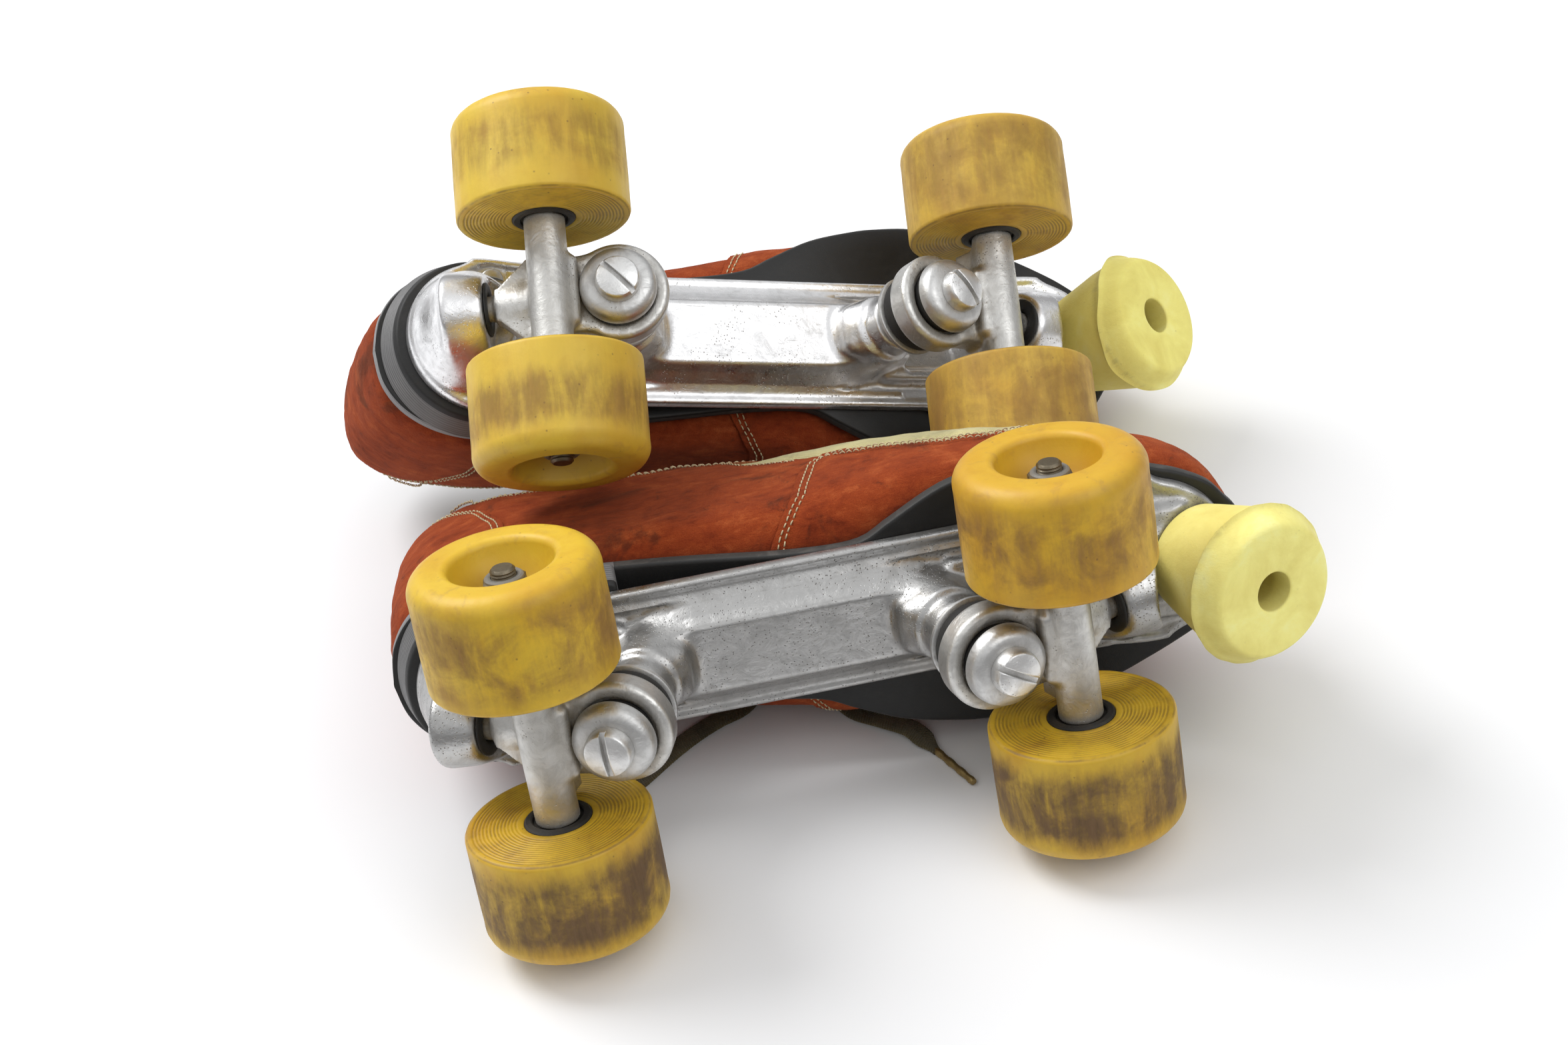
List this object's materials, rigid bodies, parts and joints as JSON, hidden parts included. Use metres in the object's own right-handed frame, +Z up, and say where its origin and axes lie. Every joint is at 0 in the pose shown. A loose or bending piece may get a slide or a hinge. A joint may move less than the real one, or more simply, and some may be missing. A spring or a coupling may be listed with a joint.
{
  "type": "quad roller skates",
  "caption": "Pair of quad roller skates lying on their sides: suede low boots on metal plates with sprung trucks, yellow wheels and toe stops.",
  "frame": {"origin": "centre of the bounding box at the height of the floor that the pair lies on", "axes": "+Z up from the floor, +X the way the left skate's toe points, +Y from the left skate to the right skate that leans on it"},
  "size_m": [0.3229, 0.3098, 0.1985],
  "materials": {
    "aglets": "crimped metal tube",
    "axle": "plain steel",
    "bearings": "steel races and dark shields",
    "boot_canvas": "pale yellow plain weave",
    "boot_suede": "orange-red suede with a varying nap and dark smudges",
    "cushion_retainers": "rolled steel, zinc plated",
    "cushions": "matte black",
    "hanger": "dull die casting with golden brown grime in its corners",
    "heel": "dark grey laminate",
    "insole": "worn tan fabric",
    "kingpins": "plated steel, worn",
    "lace": "flat woven khaki",
    "mounting_screws": "zinc plated",
    "pivot_cups": "matte black",
    "plate": "bright polished casting with scratches and grey worn faces",
    "sole": "smooth black with a lighter raw edge",
    "toe_stop": "matte lemon yellow rubber",
    "toe_stop_bolt": "dark zinc plated",
    "tongue": "pale yellow plain weave",
    "wheel": "honey yellow cast urethane with brown scuffs"
  },
  "bodies": {
    "left_skate": {"left_plate": "plate", "left_boot_suede": "boot_suede", "left_boot_canvas": "boot_canvas", "left_tongue": "tongue", "left_insole": "insole", "left_sole": "sole", "left_heel": "heel", "left_lacing": "lace", "left_mounting_screws": "mounting_screws", "left_toe_stop": "toe_stop", "left_toe_stop_bolt": "toe_stop_bolt", "left_kingpins": "kingpins", "left_pivot_cups": "pivot_cups", "left_cushion_retainers": "cushion_retainers", "left_front_cushions": "cushions", "left_rear_cushions": "cushions", "left_lace_front_end": "lace", "left_lace_rear_end": "lace", "left_lace_aglets": "aglets"},
    "right_skate": {"right_plate": "plate", "right_boot_suede": "boot_suede", "right_boot_canvas": "boot_canvas", "right_tongue": "tongue", "right_insole": "insole", "right_sole": "sole", "right_heel": "heel", "right_lacing": "lace", "right_mounting_screws": "mounting_screws", "right_toe_stop": "toe_stop", "right_toe_stop_bolt": "toe_stop_bolt", "right_kingpins": "kingpins", "right_pivot_cups": "pivot_cups", "right_cushion_retainers": "cushion_retainers", "right_front_cushions": "cushions", "right_rear_cushions": "cushions"},
    "left_front_truck": {"left_front_hanger": "hanger", "left_front_axle": "axle"},
    "left_front_outer_wheel": {"left_front_outer_wheel": "wheel", "left_front_outer_bearings": "bearings"},
    "left_front_inner_wheel": {"left_front_inner_wheel": "wheel", "left_front_inner_bearings": "bearings"},
    "left_rear_truck": {"left_rear_hanger": "hanger", "left_rear_axle": "axle"},
    "left_rear_outer_wheel": {"left_rear_outer_wheel": "wheel", "left_rear_outer_bearings": "bearings"},
    "left_rear_inner_wheel": {"left_rear_inner_wheel": "wheel", "left_rear_inner_bearings": "bearings"},
    "right_front_truck": {"right_front_hanger": "hanger", "right_front_axle": "axle"},
    "right_front_outer_wheel": {"right_front_outer_wheel": "wheel", "right_front_outer_bearings": "bearings"},
    "right_front_inner_wheel": {"right_front_inner_wheel": "wheel", "right_front_inner_bearings": "bearings"},
    "right_rear_truck": {"right_rear_hanger": "hanger", "right_rear_axle": "axle"},
    "right_rear_outer_wheel": {"right_rear_outer_wheel": "wheel", "right_rear_outer_bearings": "bearings"},
    "right_rear_inner_wheel": {"right_rear_inner_wheel": "wheel", "right_rear_inner_bearings": "bearings"}
  },
  "joints": [
    {"name": "right_skate_lift", "type": "slide", "parent": "left_skate", "child": "right_skate", "axis": [0, 0, 1], "range_m": [0, 0.15]},
    {"name": "left_front_steer", "type": "hinge", "parent": "left_skate", "child": "left_front_truck", "pos_m": [0.0906, -0.09079, 0.06294], "axis": [0.918, 0.3859, -0.0912], "range_deg": [-10, 10], "stiffness_Nm_per_rad": 60, "deforming": ["left_front_cushions"]},
    {"name": "left_front_outer_wheel_spin", "type": "hinge", "parent": "left_front_truck", "child": "left_front_outer_wheel", "pos_m": [0.0696, -0.12255, 0.02421], "axis": [0, -0.23, -0.9732], "continuous": true},
    {"name": "left_front_inner_wheel_spin", "type": "hinge", "parent": "left_front_truck", "child": "left_front_inner_wheel", "pos_m": [0.0696, -0.10185, 0.11179], "axis": [0, -0.23, -0.9732], "continuous": true},
    {"name": "left_rear_steer", "type": "hinge", "parent": "left_skate", "child": "left_rear_truck", "pos_m": [-0.1194, -0.09079, 0.06294], "axis": [-0.918, 0.3859, -0.0912], "range_deg": [-10, 10], "stiffness_Nm_per_rad": 60, "deforming": ["left_rear_cushions"]},
    {"name": "left_rear_outer_wheel_spin", "type": "hinge", "parent": "left_rear_truck", "child": "left_rear_outer_wheel", "pos_m": [-0.0984, -0.12255, 0.02421], "axis": [0, -0.23, -0.9732], "continuous": true},
    {"name": "left_rear_inner_wheel_spin", "type": "hinge", "parent": "left_rear_truck", "child": "left_rear_inner_wheel", "pos_m": [-0.0984, -0.10185, 0.11179], "axis": [0, -0.23, -0.9732], "continuous": true},
    {"name": "right_front_steer", "type": "hinge", "parent": "right_skate", "child": "right_front_truck", "pos_m": [0.09735, 0.07773, 0.06057], "axis": [0.7242, 0.3689, -0.5827], "range_deg": [-10, 10], "stiffness_Nm_per_rad": 60, "deforming": ["right_front_cushions"]},
    {"name": "right_front_outer_wheel_spin", "type": "hinge", "parent": "right_front_truck", "child": "right_front_outer_wheel", "pos_m": [0.08967, 0.0965, 0.11095], "axis": [0.0999, 0.78, 0.6178], "continuous": true},
    {"name": "right_front_inner_wheel_spin", "type": "hinge", "parent": "right_front_truck", "child": "right_front_inner_wheel", "pos_m": [0.08068, 0.0263, 0.05535], "axis": [0.0999, 0.78, 0.6178], "continuous": true},
    {"name": "right_rear_steer", "type": "hinge", "parent": "right_skate", "child": "right_rear_truck", "pos_m": [-0.09908, 0.04873, 0.12894], "axis": [-0.9932, 0.1153, 0.015], "range_deg": [-10, 10], "stiffness_Nm_per_rad": 60, "deforming": ["right_rear_cushions"]},
    {"name": "right_rear_outer_wheel_spin", "type": "hinge", "parent": "right_rear_truck", "child": "right_rear_outer_wheel", "pos_m": [-0.06748, 0.07329, 0.16565], "axis": [0.0999, 0.78, 0.6178], "continuous": true},
    {"name": "right_rear_inner_wheel_spin", "type": "hinge", "parent": "right_rear_truck", "child": "right_rear_inner_wheel", "pos_m": [-0.07647, 0.0031, 0.11005], "axis": [0.0999, 0.78, 0.6178], "continuous": true}
  ]
}
